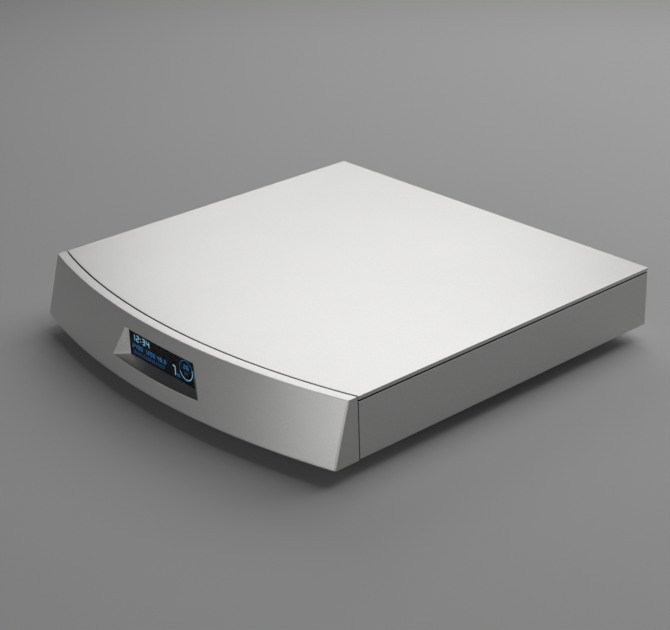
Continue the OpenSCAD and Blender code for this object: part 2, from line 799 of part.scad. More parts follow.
// Processor board on two edge connectors, with its finned cooler
module processor_module() {
    z = deck_z + 4;
    color([0.12, 0.20, 0.34]) {
        for (y = [32, 70]) box([-24, y, deck_z], [24, y + 4, z]);
        box([-27, 28, z], [27, 78, z + 1.2]);
        box([-18, 35, z + 1.2], [18, 71, z + 4.2]);
        for (k = [0:8]) box([-18 + k * 4.25, 35, z + 4], [-16 + k * 4.25, 71, z + 12]);
    }
}

module board_chips() {
    color(black) {
        box([-30, 100, deck_z], [-12, 118, deck_z + 1.6]);
        box([8, 104, deck_z], [22, 118, deck_z + 1.6]);
        box([30, 90, deck_z], [38, 104, deck_z + 3]);
        for (x = [-130, -90]) box([x - 6, 58, deck_z], [x + 6, 70, deck_z + 1.6]);
        for (x = [-138, -122, -98, -82]) box([x - 3, 78, deck_z], [x + 3, 83, deck_z + 1.5]);
        box([-113, 40, deck_z], [-107, 49, deck_z + 4]);
    }
}

module analog_board() {
    color(green) {
        bare_board(analog_at);
        box([-102, 22, deck_z], [-94, 30, deck_z + 8]);
        box([-86, 119, deck_z], [-54, 127, deck_z + 7]);
        for (x = xlr_x) box([x - 9, 119, deck_z], [x + 9, 127, deck_z + 7]);
    }
}

// Screened output transformer in a drawn can
module output_transformer(x) {
    color(steel) translate([x, 101, deck_z]) {
        linear_extrude(height = 18) round_rect(26, 22, 3);
        linear_extrude(height = 1.2) square([30, 24], center = true);
    }
}

module output_transformer_left() {
    output_transformer(-128);
}

module output_transformer_right() {
    output_transformer(-92);
}

module screen_wall() {
    color(steel) difference() {
        union() {
            box([screen_x, screen_y0, floor_z], [screen_x + screen_t, screen_y1, post_z]);
            box([screen_x, screen_y0, floor_z], [screen_x + 8.2, screen_y1, floor_z + screen_t]);
        }
        box([screen_x - 1, -58, deck_z - 1], [screen_x + screen_t + 1, -42, deck_z + 10]);
        for (y = screen_spots) translate([screen_x + 5, y, floor_z - 1]) cylinder(r = m3_hole, h = 5);
    }
}

module board_screws() {
    color(steel) {
        for (p = deck_spots) translate([p[0], p[1], deck_z]) screw(m3_head_r, m3_head_h, m3_r, 6);
        for (y = screen_spots) translate([screen_x + 5, y, floor_z + screen_t])
            screw(m3_head_r, m3_head_h, m3_r, 4.4);
        for (x = [-48.5, 48.5], dz = [-12, 12]) translate([x, display_y + board_t, glass_z + dz])
            rotate([-90, 0, 0]) screw(m3_head_r, m3_head_h, m3_r, 4.6);
    }
}

// Insulated lead swept along its route as an eight-sided tube
lead_sides = 8;
function course(p, i) = unit(p[min(i + 1, len(p) - 1)] - p[max(i - 1, 0)]);
function across(p, u, i) = i >= len(p) ? []
    : let (t = course(p, i), n = unit(u - (u * t) * t)) concat([n], across(p, n, i + 1));
function rings(p, r) = let (n = across(p, unit(cross(course(p, 0), [0.31, 0.22, 1])), 0))
    [for (i = [0:len(p) - 1], k = [0:lead_sides - 1])
        let (a = k * 360 / lead_sides) p[i] + r * (n[i] * cos(a) + cross(course(p, i), n[i]) * sin(a))];

module lead(p, r) {
    m = lead_sides;
    n = len(p);
    walls = [for (i = [0:n - 2], k = [0:m - 1]) each [
        [i * m + k, (i + 1) * m + k, i * m + (k + 1) % m],
        [i * m + (k + 1) % m, (i + 1) * m + k, (i + 1) * m + (k + 1) % m]]];
    caps = [[for (k = [0:m - 1]) k], [for (k = [m - 1:-1:0]) (n - 1) * m + k]];
    polyhedron(points = rings(p, r), faces = concat(walls, caps));
}

module mains_loom() {
    tail = rear_y - 30;
    back = rear_y - 16;
    live = row_z + socket_z - 2;
    color([0.35, 0.20, 0.12]) {
        lead([[inlet_x + 7, tail, live], [inlet_x + 7, tail - 4, live], [inlet_x + 3, tail - 8.5, live + 2],
            [110, tail - 9.5, live + 3], [97, tail - 8, live + 3], [90, tail - 2, live + 2],
            [88, tail + 5, row_z + 5], [88, back, row_z + 5]], 1.5);
        lead([[inlet_x - 7, tail, live], [inlet_x - 7, tail - 4, live], [inlet_x - 11, tail - 8, live - 3],
            [98, tail - 8.5, row_z - 3], [86, tail - 3, row_z - 5], [80.5, tail + 4, row_z - 5],
            [80, back - 4, row_z - 5], [80, back, row_z - 5]], 1.5);
        lead([[80, back, row_z + 5], [80, tail + 6, row_z + 5], [78.5, tail - 4, row_z + 4],
            [77, tail - 14, row_z + 1], [76.5, tail - 24, row_z - 2], [78, tail - 30, row_z - 3]], 1.5);
        lead([[88, back, row_z - 5], [88, back - 3, row_z - 5], [88, tail + 6, row_z - 6.5],
            [88.5, tail, row_z - 9], [90, tail - 9, row_z - 9], [91, tail - 20, row_z - 8]], 1.5);
    }
}

module supply_loom() {
    main_y = main_at[1] + 12;
    color([0.65, 0.12, 0.10]) {
        for (x = [100, 112])
            lead([[x, toroid_y - 44, row_z], [x, 23, row_z], [x, 18, row_z - 1.6], [x, 13, deck_z + 7.4],
                [x, 9, deck_z + 6], [x, 6, deck_z + 6]], 1.5);
        lead([[59, -46, deck_z + 4], [53, -46, deck_z + 4], [46, -44, deck_z + 4], [40, -36, deck_z + 4.5],
            [37, -22, deck_z + 4.5], [36, -8, deck_z + 4], [36, main_y, deck_z + 4]], 1.5);
        lead([[59, -54, deck_z + 4], [53, -54, deck_z + 4], [44, -54, deck_z + 3], [30, -53, board_z - 1],
            [0, -52, floor_z + 3], [-40, -48, floor_z + 3], [-76, -34, floor_z + 4], [-92, -10, deck_z],
            [-97.5, 8, deck_z + 3.5], [-98, 16, deck_z + 4], [-98, 22, deck_z + 4]], 1.5);
    }
}

module signal_loom() {
    out = analog_at[1] + 107;
    rca_tail = rear_y - 14;
    xlr_tail = rear_y - 25;
    color([0.20, 0.22, 0.26]) {
        for (x = rca_x)
            lead([[x, rca_tail, row_z], [x, rca_tail - 5, row_z], [x, rca_tail - 12, row_z - 3],
                [x, rca_tail - 17, deck_z + 6], [x, out + 3, deck_z + 4], [x, out, deck_z + 4]], 1.4);
        for (x = xlr_x, a = [30, 150, 270])
            lead([[x - 5.4 * cos(a), xlr_tail, row_z + 5.4 * sin(a)],
                [x - 5.4 * cos(a), xlr_tail - 3, row_z + 5.4 * sin(a)],
                [x - 5.4 * cos(a), xlr_tail - 6.5, (row_z + 5.4 * sin(a) + deck_z + 4) / 2],
                [x - 5.4 * cos(a), out + 3, deck_z + 4], [x - 5.4 * cos(a), out, deck_z + 4]], 1.1);
        lead([[bnc_x, rca_tail, row_z], [bnc_x, rca_tail - 4, row_z], [bnc_x, rca_tail - 8, row_z - 2.5],
            [bnc_x, rca_tail - 10, row_z - 7], [bnc_x, rca_tail - 10, deck_z]], 1.4);
    }
}

front_fascia();
top_cover();
chassis_tub();
cover_gasket();
rear_panel();
cover_screws();
fascia_screws();
rear_screws();
foot_front_left();
foot_front_right();
foot_rear_left();
foot_rear_right();
foot_pads();
display_glass();
display_cell();
display_board();
display_ribbon();
inlet_body();
inlet_blades();
fuse_drawer();
fuse();
switch_body();
power_rocker();
xlr_left();
xlr_right();
xlr_pins();
rca_left();
rca_right();
rca_collar_left();
rca_collar_right();
socket_inserts();
socket_contacts();
socket_nuts();
bnc_socket();
usb_left();
usb_right();
usb_tongues();
network_socket();
ground_stud();
ground_washer();
ground_nut();
toroid();
toroid_pads();
toroid_clamp();
toroid_bolt();
psu_board();
psu_capacitors();
psu_heatsink();
psu_regulators();
main_board();
processor_module();
board_chips();
analog_board();
output_transformer_left();
output_transformer_right();
screen_wall();
board_screws();
mains_loom();
supply_loom();
signal_loom();
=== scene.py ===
import json
import math

import bmesh
import bpy
from mathutils import Matrix, Vector


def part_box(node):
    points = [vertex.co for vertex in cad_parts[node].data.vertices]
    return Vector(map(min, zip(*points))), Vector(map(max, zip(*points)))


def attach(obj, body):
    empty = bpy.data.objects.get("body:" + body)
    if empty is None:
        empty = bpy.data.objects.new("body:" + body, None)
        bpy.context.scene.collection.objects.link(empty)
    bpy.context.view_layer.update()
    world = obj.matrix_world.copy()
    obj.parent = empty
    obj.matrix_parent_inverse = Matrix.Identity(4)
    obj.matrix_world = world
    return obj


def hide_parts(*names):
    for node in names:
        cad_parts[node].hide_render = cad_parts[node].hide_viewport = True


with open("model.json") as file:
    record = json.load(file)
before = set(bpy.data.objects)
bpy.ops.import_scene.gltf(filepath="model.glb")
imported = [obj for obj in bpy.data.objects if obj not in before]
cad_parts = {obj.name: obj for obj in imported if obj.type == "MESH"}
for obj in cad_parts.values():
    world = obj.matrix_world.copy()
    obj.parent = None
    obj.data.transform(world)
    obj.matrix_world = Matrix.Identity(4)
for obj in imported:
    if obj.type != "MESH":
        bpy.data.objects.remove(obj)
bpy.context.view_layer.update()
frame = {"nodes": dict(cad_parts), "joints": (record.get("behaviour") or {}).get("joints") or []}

nodes = frame["nodes"]
scene = bpy.context.scene
scene.view_settings.view_transform = "Standard"
MM = 0.001

# Main sizes of the casing, in millimetres
HALF_W = 175.0
FRONT_Y = -180.0
REAR_Y = 165.0
BASE_Z = 12.5
TOP_Z = 60.5
COVER_T = 3.0
SEAM = 1.0

# Bowed front: the fascia's thickness at its top and foot, and the arcs of the seam behind it
BOW = 26.0
TOP_T = 8.5
FOOT_T = 21.4
SEAM_R = (HALF_W * HALF_W + BOW * BOW) / (2 * BOW)
SEAM_Y = FRONT_Y + FOOT_T
ARC_Y = SEAM_Y + SEAM_R
TUB_R = SEAM_R - SEAM / 2
BACK_R = SEAM_R + SEAM / 2

# Display, as half widths and half heights round its middle, and depths behind the glass line
GLASS_Y = SEAM_Y - 8.4
GLASS_Z = TOP_Z - 22.0
GLASS_HW, GLASS_HH = 39.4, 10.3
SEAT_HW, SEAT_HH = 43.2, 12.8
POCKET_HW, POCKET_HH = 54.0, 16.5
PANE_HW, PANE_HH = 42.9, 12.5
SEAT_DEPTH = 3.5
PANE_FRONT, PANE_BACK = 0.02, 1.3
MARK_DEPTH = 1.44


def arc_point(r, x):
    """Depth of the bowed front at radius r and place x."""
    return ARC_Y - math.sqrt(r * r - x * x)


def middle_of(node):
    """Middle of a node's box, in millimetres."""
    low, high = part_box(node)
    return [(a + b) / 2 / MM for a, b in zip(low, high)]


# Materials

# Most of a noise texture lies between these two values
NOISE_LOW, NOISE_HIGH = 0.25, 0.75
GRAIN_DEPTH = 0.0001
MILLING = "milling"
ALUMINIUM_LOW = (0.628, 0.623, 0.616)
ALUMINIUM_HIGH = (0.648, 0.643, 0.636)
MILLED_LOW = (0.60, 0.595, 0.588)
MILLED_HIGH = (0.66, 0.655, 0.648)
WHITE = (1.0, 1.0, 1.0)


def new_material(name):
    mat = bpy.data.materials.new(name)
    mat.use_nodes = True
    tree = mat.node_tree
    return mat, tree, tree.nodes["Principled BSDF"]


def noise(tree, scale, detail=2.0, rough=0.5):
    """Noise texture in the part's own metres."""
    where = tree.nodes.new("ShaderNodeTexCoord")
    tex = tree.nodes.new("ShaderNodeTexNoise")
    tex.inputs["Scale"].default_value = scale
    tex.inputs["Detail"].default_value = detail
    tex.inputs["Roughness"].default_value = rough
    tree.links.new(where.outputs["Object"], tex.inputs["Vector"])
    return tex.outputs["Fac"]


def tone(tree, source, low, high, at=(0.3, 0.7)):
    """Colours between low and high, following a texture."""
    ramp = tree.nodes.new("ShaderNodeValToRGB")
    ramp.color_ramp.elements[0].position = at[0]
    ramp.color_ramp.elements[1].position = at[1]
    ramp.color_ramp.elements[0].color = (*low, 1)
    ramp.color_ramp.elements[1].color = (*high, 1)
    tree.links.new(source, ramp.inputs["Fac"])
    return ramp.outputs["Color"]


def multiply(tree, a, b):
    """Product of two colours."""
    mix = tree.nodes.new("ShaderNodeMix")
    mix.data_type = "RGBA"
    mix.blend_type = "MULTIPLY"
    mix.inputs["Factor"].default_value = 1.0
    tree.links.new(a, mix.inputs["A"])
    tree.links.new(b, mix.inputs["B"])
    return mix.outputs["Result"]


def maths(tree, operation, a, b=None):
    """Result of an operation on one value, or on it and a second value or number."""
    node = tree.nodes.new("ShaderNodeMath")
    node.operation = operation
    tree.links.new(a, node.inputs[0])
    if isinstance(b, float):
        node.inputs[1].default_value = b
    elif b is not None:
        tree.links.new(b, node.inputs[1])
    return node.outputs["Value"]


def mapped(tree, source, start, end, low, high, kind="LINEAR"):
    """Numbers from low to high while a source goes from start to end."""
    rng = tree.nodes.new("ShaderNodeMapRange")
    rng.interpolation_type = kind
    rng.inputs["From Min"].default_value = start
    rng.inputs["From Max"].default_value = end
    rng.inputs["To Min"].default_value = low
    rng.inputs["To Max"].default_value = high
    tree.links.new(source, rng.inputs["Value"])
    return rng.outputs["Result"]


def span(tree, source, low, high):
    """Numbers between low and high, following a texture."""
    return mapped(tree, source, NOISE_LOW, NOISE_HIGH, low, high)


def ease(tree, source, start, end, low, high):
    """Numbers from low to high on a smooth step."""
    return mapped(tree, source, start, end, low, high, "SMOOTHSTEP")


def place_along(tree, axis, coords="Object"):
    """Place along one axis."""
    where = tree.nodes.new("ShaderNodeTexCoord")
    split = tree.nodes.new("ShaderNodeSeparateXYZ")
    tree.links.new(where.outputs[coords], split.inputs["Vector"])
    return split.outputs[axis]


def coat(tree, bsdf, colour, texture, rough, metal=0.0):
    """Sets the colour, how metallic it is, and a roughness that follows a texture."""
    tree.links.new(colour, bsdf.inputs["Base Color"])
    tree.links.new(span(tree, texture, *rough), bsdf.inputs["Roughness"])
    bsdf.inputs["Metallic"].default_value = metal


def bump(tree, bsdf, source, strength, depth, under=None):
    """Fine relief, laid over another where one is given."""
    node = tree.nodes.new("ShaderNodeBump")
    node.inputs["Strength"].default_value = strength
    node.inputs["Distance"].default_value = depth
    tree.links.new(source, node.inputs["Height"])
    if under:
        tree.links.new(under, node.inputs["Normal"])
    tree.links.new(node.outputs["Normal"], bsdf.inputs["Normal"])
    return node.outputs["Normal"]


def surface(name, low, high, rough, metal=0.0, patch=90.0, grain=1500.0, relief=0.15):
    """General finish: slow patches of tone, a fine grain in gloss and relief."""
    mat, tree, bsdf = new_material(name)
    slow = noise(tree, patch, detail=3.0)
    fine = noise(tree, grain, rough=0.6)
    coat(tree, bsdf, tone(tree, slow, low, high), fine, rough, metal)
    bump(tree, bsdf, fine, strength=relief, depth=GRAIN_DEPTH)
    return mat


def blasted_aluminium(name, painted_shade_z=None, share=1.0):
    """Fine bead-blasted, anodised aluminium: even satin with a sparkle of tiny dimples.

    Above a given height it is painted black, as painted shade in the seam under the cover, and share
    darkens all of it, as painted shade on the window's sill.
    """
    low = tuple(v * share for v in ALUMINIUM_LOW)
    high = tuple(v * share for v in ALUMINIUM_HIGH)
    pit, black = (0.86, 0.86, 0.86), (0.05, 0.05, 0.05)
    mat, tree, bsdf = new_material(name)
    slow = noise(tree, scale=9.0)
    speck = noise(tree, scale=1500.0, detail=3.0, rough=0.7)
    dimple = noise(tree, scale=4200.0, rough=0.6)
    ground = tone(tree, slow, low, high)
    spark = tone(tree, speck, pit, WHITE, at=(0.32, 0.66))
    colour = multiply(tree, ground, spark)
    if painted_shade_z is not None:
        # Painted shade: black above the given height, standing for the shade in the seam under the cover
        above = maths(tree, "GREATER_THAN", place_along(tree, "Z"), painted_shade_z)
        colour = multiply(tree, colour, tone(tree, above, WHITE, black))
    coat(tree, bsdf, colour, speck, rough=(0.35, 0.43), metal=1.0)
    first = bump(tree, bsdf, speck, strength=0.10, depth=0.00008)
    bump(tree, bsdf, dimple, strength=0.14, depth=0.00004, under=first)
    return mat


def milled_aluminium(name, rough, pull):
    """Aluminium with fine cutter marks that run in towards the window's middle."""
    mat, tree, bsdf = new_material(name)
    place = tree.nodes.new("ShaderNodeUVMap")
    place.uv_map = MILLING
    stretch = tree.nodes.new("ShaderNodeMapping")
    stretch.inputs["Scale"].default_value = (900.0, 3.0, 1.0)
    marks = tree.nodes.new("ShaderNodeTexNoise")
    marks.inputs["Scale"].default_value = 1.0
    tree.links.new(place.outputs["UV"], stretch.inputs["Vector"])
    tree.links.new(stretch.outputs["Vector"], marks.inputs["Vector"])
    fine = marks.outputs["Fac"]
    coat(tree, bsdf, tone(tree, fine, MILLED_LOW, MILLED_HIGH), fine, rough, metal=1.0)
    bsdf.inputs["Anisotropic"].default_value = pull
    along = tree.nodes.new("ShaderNodeTangent")
    along.direction_type = "UV_MAP"
    along.uv_map = MILLING
    tree.links.new(along.outputs["Tangent"], bsdf.inputs["Tangent"])
    return mat


def turned_metal(name, low, high, rough):
    """Turned or drawn metal with slow patches of tone and fine tool marks."""
    mat, tree, bsdf = new_material(name)
    slow = noise(tree, scale=60.0)
    fine = noise(tree, scale=2500.0)
    coat(tree, bsdf, tone(tree, slow, low, high), fine, rough, metal=1.0)
    bump(tree, bsdf, fine, strength=0.06, depth=0.00005)
    return mat


def glowing(name, colour, strength):
    """Lit display element with a faint pixel pattern."""
    mat, tree, bsdf = new_material(name)
    dots = noise(tree, scale=900.0, detail=1.0)
    shade = tone(tree, dots, tuple(c * 0.75 for c in colour), colour)
    tree.links.new(shade, bsdf.inputs["Base Color"])
    tree.links.new(shade, bsdf.inputs["Emission Color"])
    bsdf.inputs["Emission Strength"].default_value = strength
    bsdf.inputs["Roughness"].default_value = 0.5
    return mat


def capped_glass(name, middle, half):
    """Clear tube between two metal caps, along x from its middle."""
    clear, metal = (0.80, 0.86, 0.84), (0.62, 0.62, 0.63)
    mat, tree, bsdf = new_material(name)
    off = maths(tree, "SUBTRACT", place_along(tree, "X"), middle)
    size = maths(tree, "ABSOLUTE", off)
    cap = maths(tree, "GREATER_THAN", size, half)
    tube = maths(tree, "LESS_THAN", size, half)
    fine = noise(tree, scale=1800.0)
    coat(tree, bsdf, tone(tree, cap, clear, metal), fine, rough=(0.10, 0.22))
    tree.links.new(cap, bsdf.inputs["Metallic"])
    tree.links.new(tube, bsdf.inputs["Transmission Weight"])
    return mat


def smoked_glass(name):
    """Tinted glass with a faint smear in its tone and gloss."""
    mat, tree, bsdf = new_material(name)
    smear = noise(tree, scale=45.0, detail=3.0)
    tint = tone(tree, smear, (0.60, 0.63, 0.68), (0.66, 0.69, 0.74))
    coat(tree, bsdf, tint, smear, rough=(0.0, 0.02))
    bsdf.inputs["Transmission Weight"].default_value = 1.0
    bsdf.inputs["IOR"].default_value = 1.2
    return mat


# Height above which the walls' finish is painted black, as painted shade in the seam under the cover
GAP_SHADE_Z = TOP_Z - COVER_T - SEAM - 0.2
# Share of the aluminium's tone left on the sill, a darkening that is painted shade
SILL_PAINTED_SHADE = 0.62
FUSE_TUBE_HALF = 0.0062

MAT = {}
MAT["casing"] = blasted_aluminium("silver_anodised")
# Walls and rear panel: the casing's finish, painted black at the top as shade in the seam under the cover
MAT["walls"] = blasted_aluminium("anodised_walls_painted_gap_shade", painted_shade_z=GAP_SHADE_Z * MM)
# The window's sill: the casing's aluminium darkened all over, as painted shade
MAT["sill"] = blasted_aluminium("sill_painted_shade", share=SILL_PAINTED_SHADE)
MAT["splay"] = milled_aluminium("milled_aluminium", rough=(0.25, 0.31), pull=0.97)
MAT["rubber"] = surface("black_rubber", (0.012, 0.012, 0.012), (0.03, 0.03, 0.03), (0.7, 0.9),
                        patch=80, grain=1200, relief=0.3)
MAT["black_screw"] = surface("black_oxide", (0.015, 0.015, 0.016), (0.04, 0.04, 0.042), (0.35, 0.5),
                             metal=0.7, patch=200)
MAT["steel"] = turned_metal("bright_steel", (0.55, 0.56, 0.57), (0.66, 0.66, 0.67), (0.22, 0.34))
MAT["gold"] = turned_metal("gold_plate", (0.75, 0.53, 0.20), (0.86, 0.63, 0.27), (0.16, 0.26))
MAT["board"] = surface("solder_mask", (0.01, 0.07, 0.035), (0.02, 0.12, 0.06), (0.3, 0.45),
                       patch=150, grain=700, relief=0.1)
MAT["white"] = surface("white_plastic", (0.72, 0.72, 0.70), (0.82, 0.82, 0.80), (0.4, 0.55),
                       grain=2000, relief=0.1)
MAT["red"] = surface("red_plastic", (0.38, 0.012, 0.012), (0.48, 0.02, 0.018), (0.35, 0.5),
                     grain=2000, relief=0.1)
MAT["black"] = surface("black_plastic", (0.012, 0.012, 0.013), (0.024, 0.024, 0.025), (0.45, 0.62),
                       patch=60, grain=1800, relief=0.25)
MAT["rocker"] = surface("rocker_plastic", (0.015, 0.015, 0.016), (0.026, 0.026, 0.027), (0.25, 0.38),
                        patch=60, grain=2200, relief=0.1)
MAT["tape"] = surface("amber_tape", (0.42, 0.25, 0.04), (0.55, 0.34, 0.07), (0.25, 0.4),
                      patch=120, grain=500, relief=0.2)
MAT["sleeve"] = surface("capacitor_sleeve", (0.015, 0.02, 0.06), (0.025, 0.03, 0.09), (0.25, 0.4))
MAT["sink"] = surface("black_anodised", (0.015, 0.015, 0.015), (0.03, 0.03, 0.03), (0.4, 0.55), metal=0.6)
MAT["mains"] = surface("brown_lead", (0.12, 0.05, 0.02), (0.17, 0.07, 0.03), (0.4, 0.55))
MAT["supply"] = surface("red_lead", (0.35, 0.02, 0.015), (0.45, 0.03, 0.02), (0.4, 0.55))
MAT["signal"] = surface("grey_lead", (0.07, 0.075, 0.09), (0.1, 0.11, 0.13), (0.4, 0.55))
MAT["fuse"] = capped_glass("fuse_tube", middle_of("fuse")[0] * MM, FUSE_TUBE_HALF)
MAT["pane"] = smoked_glass("smoked_glass")

# The display's face has no gloss of its own, so it stays dark behind the pane
MAT["cell"] = surface("display_face", (0.002, 0.003, 0.005), (0.004, 0.005, 0.008), (0.5, 0.6), patch=400)
MAT["cell"].node_tree.nodes["Principled BSDF"].inputs["Specular IOR Level"].default_value = 0.0

# Nodes that aren't named here have the casing's finish
NODE_MATERIAL = {
    "walls": ["chassis_tub", "rear_panel"],
    "rubber": ["cover_gasket", "foot_pads", "toroid_pads"],
    "black_screw": ["cover_screws", "rear_screws"],
    "steel": ["fascia_screws", "board_screws", "toroid_clamp", "toroid_bolt", "screen_wall",
              "output_transformer_left", "output_transformer_right", "inlet_blades", "socket_nuts",
              "bnc_socket", "usb_left", "usb_right", "network_socket", "ground_washer"],
    "gold": ["xlr_pins", "rca_left", "rca_right", "socket_contacts", "ground_stud", "ground_nut"],
    "board": ["display_board", "psu_board", "main_board", "analog_board", "processor_module"],
    "white": ["display_ribbon", "rca_collar_left", "socket_inserts", "usb_tongues"],
    "red": ["rca_collar_right"],
    "black": ["inlet_body", "fuse_drawer", "switch_body", "xlr_left", "xlr_right",
              "psu_regulators", "board_chips"],
    "rocker": ["power_rocker"],
    "tape": ["toroid"],
    "sleeve": ["psu_capacitors"],
    "sink": ["psu_heatsink"],
    "mains": ["mains_loom"],
    "supply": ["supply_loom"],
    "signal": ["signal_loom"],
    "fuse": ["fuse"],
    "cell": ["display_cell"],
}
MATERIAL_OF = {node: key for key, names in NODE_MATERIAL.items() for node in names}
for name, obj in nodes.items():
    obj.data.materials.clear()
    obj.data.materials.append(MAT[MATERIAL_OF.get(name, "casing")])


# Mesh helpers

SHARP_ANGLE = 30.0
EASE_ANGLE = 28.0


def add_object(name, bm, mat):
    mesh = bpy.data.meshes.new(name)
    bm.normal_update()
    bm.to_mesh(mesh)
    bm.free()
    obj = bpy.data.objects.new(name, mesh)
    scene.collection.objects.link(obj)
    obj.data.materials.append(mat)
    return obj


def steps_between(low, high, count):
    """Evenly spaced values from low to high, both among them."""
    return [low + (high - low) * k / count for k in range(count + 1)]


def band(bm, a, b):
    """Ring of quads between two loops of equal count."""
    faces = []
    for k in range(len(a)):
        j = (k + 1) % len(a)
        faces.append(bm.faces.new((a[k], a[j], b[j], b[k])))
    return faces


def loft(bm, rings, capped=True):
    """Skin over a row of equal rings of points in millimetres, with end caps."""
    rows = [[bm.verts.new(Vector(p) * MM) for p in ring] for ring in rings]
    for a, b in zip(rows, rows[1:]):
        band(bm, a, b)
    if capped:
        bm.faces.new(list(reversed(rows[0])))
        bm.faces.new(rows[-1])
    bmesh.ops.recalc_face_normals(bm, faces=bm.faces)


def brick(bm, low, high):
    """Box between two corners, in millimetres."""
    (x0, y0, z0), (x1, y1, z1) = low, high
    loft(bm, [[(x0, y0, z), (x1, y0, z), (x1, y1, z), (x0, y1, z)] for z in (z0, z1)])


def shaded(obj):
    """Smooth shading broken at sharp edges, led by the large faces."""
    mesh = obj.data
    mesh.polygons.foreach_set("use_smooth", [True] * len(mesh.polygons))
    mesh.set_sharp_from_angle(angle=math.radians(SHARP_ANGLE))
    mod = obj.modifiers.new("normals", "WEIGHTED_NORMAL")
    mod.keep_sharp = True
    return obj


def eased(obj, width, steps=3):
    """Rounds the sharp edges and shades the rest smoothly."""
    for poly in obj.data.polygons:
        poly.use_smooth = True
    mod = obj.modifiers.new("ease", "BEVEL")
    mod.width = width * MM
    mod.segments = steps
    mod.limit_method = "ANGLE"
    mod.angle_limit = math.radians(EASE_ANGLE)
    mod.harden_normals = True
    return obj


# Front fascia: leaning bowed face, splayed window and the stepped seat of the display behind it

# Slopes of the splays at the window's sides, sill and head
SIDE = math.tan(math.radians(61.2))
SILL = math.tan(math.radians(17.7))
HEAD = math.tan(math.radians(26.6))

# Eased edges: at the foot, at the top, at the back, round the window and at the two ends
FOOT_EASE_Z, FOOT_EASE_R = 0.8, 0.9
TOP_EASE_Z, TOP_EASE_R, TOP_LEAN = 0.4, 0.5, 0.1
BACK_EASE = 0.4
LIP_EASE = 0.3
END_EASE_X, END_EASE_Y = 0.92, 0.95
FACE_LOW = BASE_Z + FOOT_EASE_Z
FACE_HIGH = TOP_Z - TOP_EASE_Z

# Columns beside and over the window, and rows below, beside and above it
N_OUT, N_WIN = 40, 44
N_LOW, N_MID, N_TOP = 8, 10, 5

# Columns of the window's two edges, in rows that have a point at each end plane
FIRST, LAST = N_OUT + 1, N_OUT + N_WIN + 1

# Material slots of the fascia
BODY_SLOT, SPLAY_SLOT, SILL_SLOT = 0, 1, 2


def face_r(z):
    """Radius of the leaning face at height z."""
    share = (z - FACE_LOW) / (FACE_HIGH - FACE_LOW)
    return SEAM_R + FOOT_T + (TOP_T - FOOT_T) * share


def depth(x, z):
    """How far the leaning face stands in front of the glass."""
    return GLASS_Y - arc_point(face_r(z), x)


def settle(step, guess):
    """Value that a step leaves as it is, found by repeating the step from a guess."""
    value = guess
    for _ in range(40):
        value = step(value)
    return value


def sill_z(x):
    """Height at which the sill's splay meets the face."""
    return settle(lambda z: GLASS_Z - GLASS_HH - depth(x, z) * SILL, guess=26.0)


def head_z(x):
    """Height at which the head's splay meets the face."""
    return settle(lambda z: GLASS_Z + GLASS_HH + depth(x, z) * HEAD, guess=50.0)


def side_x(z):
    """Place at which a side's splay meets the face."""
    return settle(lambda x: GLASS_HW + depth(x, z) * SIDE, guess=45.0)


def spread(edge, window):
    """Columns from one end of the fascia to the other, with the window's edges among them."""
    left = [-edge + (edge - window) * k / N_OUT for k in range(N_OUT)]
    return left + steps_between(-window, window, N_WIN) + [-x for x in reversed(left)]


def face_rows():
    """Points of the leaning face, row by row from the foot; None inside the window."""
    low_x = settle(lambda x: side_x(sill_z(x)), guess=52.0)
    top_x = settle(lambda x: side_x(head_z(x)), guess=42.0)
    low_z, top_z = sill_z(low_x), head_z(top_x)
    edge = HALF_W - END_EASE_X

    def below(x, i):
        return FACE_LOW + (sill_z(min(abs(x), low_x)) - FACE_LOW) * i / N_LOW

    def above(x, i):
        return FACE_HIGH + (head_z(min(abs(x), top_x)) - FACE_HIGH) * (1 - i / N_TOP)

    rows = [[(x, below(x, i)) for x in spread(edge, low_x)] for i in range(N_LOW + 1)]
    for z in steps_between(low_z, top_z, N_MID)[1:-1]:
        places = enumerate(spread(edge, side_x(z)), 1)
        rows.append([None if FIRST < k < LAST else (x, z) for k, x in places])
    rows += [[(x, above(x, i)) for x in spread(edge, top_x)] for i in range(N_TOP + 1)]
    return [[None if p is None else (*p, face_r(p[1])) for p in row] for row in rows]


def curve(start, corner, end, steps):
    """Points strictly between start and end on the eased edge round a corner."""
    points = []
    for k in range(1, steps):
        t = k / steps
        from_start, from_corner, from_end = (1 - t) ** 2, 2 * t * (1 - t), t * t
        points.append(tuple(from_start * a + from_corner * c + from_end * b
                            for a, c, b in zip(start, corner, end)))
    return points


def edge_profile(start, corner, end, steps):
    """Eased edge and the flat behind it: radius, height and share of the way to the back."""
    _, flat_z = end
    eased_edge = curve(start, corner, end, steps) + [end]
    return [(r, z, 0.0) for r, z in eased_edge] + [(BACK_R + BACK_EASE, flat_z, 1.0)]


def fascia_point(bm, x, z, r, end=0.0):
    return bm.verts.new(Vector((x, arc_point(r, x) + end, z)) * MM)


def with_ends(bm, row):
    """Row of vertices with one more at each end plane, behind the eased end edge."""
    inner = [None if p is None else fascia_point(bm, *p) for p in row]
    _, z, r = row[0]
    left = fascia_point(bm, -HALF_W, z, r, END_EASE_Y)
    right = fascia_point(bm, HALF_W, z, r, END_EASE_Y)
    return [left] + inner + [right]


def quads(bm, rows):
    """Grid of quads over rows of vertices, left open where one is None."""
    for a, b in zip(rows, rows[1:]):
        for k in range(len(a) - 1):
            four = (a[k], a[k + 1], b[k + 1], b[k])
            if None not in four:
                bm.faces.new(four)


